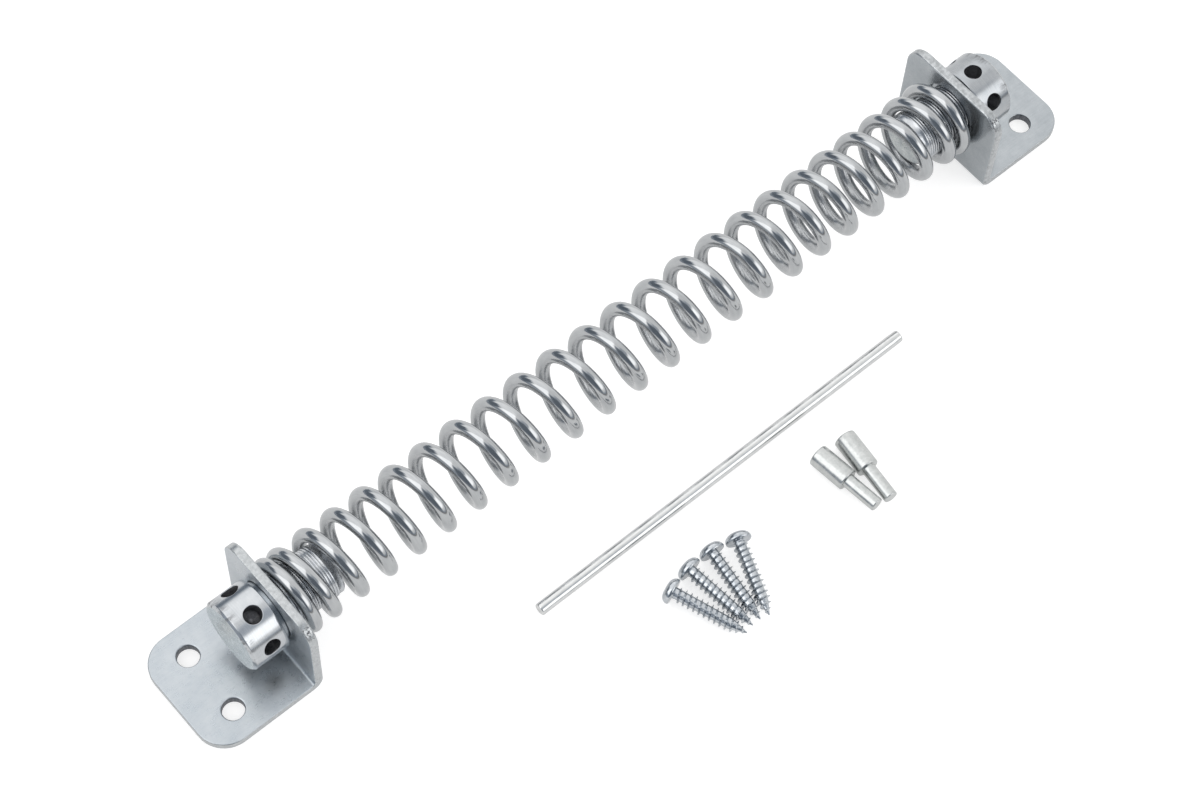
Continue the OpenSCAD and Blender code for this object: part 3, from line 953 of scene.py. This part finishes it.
def paper_floor():
    """Pale paper. It ends in front, where gloss sees the dim room instead."""
    m = Nodes("paper_floor")
    flat = m.coords()
    y = m.parts(flat)[1]
    paper = m.spread(y, paper_end, paper_full, end_share, 1.0)
    fibre = m.spread(m.noise(flat, 900.0, 3.0, 0.6), 0, 1, fibre_dark, fibre_light)
    tone = m.math("MULTIPLY", fibre, paper)
    grey = m.add("ShaderNodeCombineXYZ")
    for socket in grey.inputs:
        m.link(tone, socket)
    diffuse = m.add("ShaderNodeBsdfDiffuse")
    m.link(grey.outputs[0], diffuse.inputs[0])

    # A glow makes it white for the camera. Gloss sees less of it, and little past the paper's end
    path = m.add("ShaderNodeLightPath")
    in_gloss = m.math("MAXIMUM", path.outputs["Is Glossy Ray"], path.outputs["Is Transmission Ray"])
    white = m.spread(y, paper_end, paper_full, glow_end, glow_full)
    seen = m.math("MAXIMUM", m.math("MULTIPLY", path.outputs["Is Camera Ray"], white),
                  m.math("MULTIPLY", m.math("MULTIPLY", in_gloss, paper), glow_gloss))
    glow = m.add("ShaderNodeEmission")
    m.link(seen, glow.inputs["Strength"])
    both = m.add("ShaderNodeAddShader")
    m.link(diffuse.outputs[0], both.inputs[0])
    m.link(glow.outputs[0], both.inputs[1])
    m.link(both.outputs[0], m.out.inputs[0])
    m.mat.cycles.emission_sampling = "NONE"
    return m.mat


# The studio in gloss, over plain white: (azimuth, half width, fade), (low, fade, high, fade), level.
# Angles are in degrees, and a later entry covers an earlier one.
ROOM = [((78, 32, 44), (-5, 1, 88, 2), 1.33),
        ((78, 40, 38), (-5, 1, 18, 12), 1.0),
        ((-74, 20, 20), (50, 8, 68, 14), 0.6),
        ((-69, 14, 20), (18, 6, 40, 9), 1.9),
        ((165, 25, 11), (32, 8, 84, 3), 1.9),
        ((165, 34, 10), (-5, 1, 18, 10), 0.48),
        ((119, 16, 8), (8, 6, 33, 12), 0.22),
        ((90, 12, 8), (5, 4, 15, 10), 0.24),
        ((112, 38, 10), (-5, 1, 2, 6), 0.36),
        ((-66, 42, 12), (-5, 1, 2, 6), 0.4),
        ((-128, 31, 8), (-5, 1, 63, 10), 0.38),
        ((-127, 25, 8), (12, 8, 55, 10), 0.22)]


def room(radius):
    """The studio as gloss sees it: a pale sweep, soft boxes, and the dim room low down and behind."""
    shape = Shape()
    dome_levels, dome_around = 25, 96
    shape.lathe([(radius / MM * math.cos(e), radius / MM * math.sin(e))
                 for e in np.linspace(0.0, math.pi / 2, dome_levels)], dome_around)
    dome = shape.mesh("studio_room")
    dome.location = (middle_x, 0, 0)
    m = Nodes("studio_room")
    x, y, z = m.parts(m.coords())
    flat, never_zero = m.length(x, y), 0.001

    def toward(azimuth, half, fade):
        """1 within half degrees of the azimuth, fading to 0 over fade degrees."""
        a = math.radians(azimuth)
        side = m.shares((x, math.cos(a)), (y, math.sin(a)))
        cosine = m.math("DIVIDE", side, m.math("ADD", flat, never_zero))
        return m.spread(cosine, math.cos(math.radians(half + fade)), math.cos(math.radians(half)), 0, 1)

    def height(low, low_fade, high, high_fade):
        """1 between two elevations in degrees, fading to 0 over the fades."""
        at = [radius * math.sin(math.radians(e)) for e in (low - low_fade, low, high, high + high_fade)]
        return m.math("MULTIPLY", m.spread(z, at[0], at[1], 0, 1), m.spread(z, at[2], at[3], 1, 0))

    level = 1.0
    for where, span, value in ROOM:
        node = m.add("ShaderNodeMix")
        m.link(m.math("MULTIPLY", toward(*where), height(*span)), node.inputs[0])
        m.put(level, node.inputs[2])
        node.inputs[3].default_value = value
        level = node.outputs[0]
    glow = m.add("ShaderNodeEmission")
    m.link(level, glow.inputs["Strength"])
    m.link(m.tint(level, 0.2, 1.0, (0.82, 0.95, 1.12), (1.0, 1.0, 1.0)), glow.inputs["Color"])
    m.link(glow.outputs[0], m.out.inputs[0])
    m.mat.cycles.emission_sampling = "NONE"
    dome.data.materials.append(m.mat)
    for ray in ("camera", "diffuse", "transmission", "volume_scatter", "shadow"):
        setattr(dome, "visible_" + ray, False)


def lamp(name, place, aim, size, power, twist):
    data = bpy.data.lights.new(name, "AREA")
    data.shape, data.size, data.size_y, data.energy = "RECTANGLE", size[0], size[1], power
    obj = bpy.data.objects.new(name, data)
    bpy.context.scene.collection.objects.link(obj)
    obj.location = place
    turn = (Vector(aim) - Vector(place)).to_track_quat("-Z", "Y").to_matrix()
    obj.rotation_euler = (turn @ Matrix.Rotation(math.radians(twist), 3, "Z")).to_euler()
    # The room has this soft box already, so gloss doesn't see the lamp a second time
    obj.visible_glossy = False


bpy.ops.mesh.primitive_plane_add(size=floor_size, location=(middle_x, 0, -floor_drop))
floor = bpy.context.object
floor.name = "floor"
floor.data.materials.append(paper_floor())

world = bpy.data.worlds.new("studio")
bpy.context.scene.world = world
world.use_nodes = True
background = world.node_tree.nodes["Background"]
background.inputs["Color"].default_value = (1, 1, 1, 1)
background.inputs["Strength"].default_value = 1.0

room(3.8)
lamp("key", place=(1.716, -2.807, 1.446), aim=(middle_x, 0, 0.02), size=(2.5, 1.5), power=27.0, twist=-28)

# The photograph's camera. Its focal length was found in the photograph's pixels.
photo_width, focal_length, sensor = 1200.0, 2888.0, 36.0
target, distance = Vector((0.1473, -0.00017, 0.0)), 0.8801
azimuth, elevation, roll = math.radians(-43.81), math.radians(61.28), math.radians(3.61)
back = Vector((math.sin(azimuth) * math.cos(elevation), -math.cos(azimuth) * math.cos(elevation),
               math.sin(elevation)))
right = Vector((math.cos(azimuth), math.sin(azimuth), 0))
up = back.cross(right)
axes = Matrix((right * math.cos(roll) + up * math.sin(roll), up * math.cos(roll) - right * math.sin(roll),
               back))
camera_data = bpy.data.cameras.new("camera")
camera_data.sensor_width = sensor
camera_data.lens = focal_length / photo_width * sensor
camera_data.clip_start, camera_data.clip_end = 0.01, 20.0
camera = bpy.data.objects.new("camera", camera_data)
bpy.context.scene.collection.objects.link(camera)
camera.matrix_world = Matrix.Translation(target + back * distance) @ axes.transposed().to_4x4()
bpy.context.scene.camera = camera
bpy.context.scene.view_settings.view_transform = "Standard"
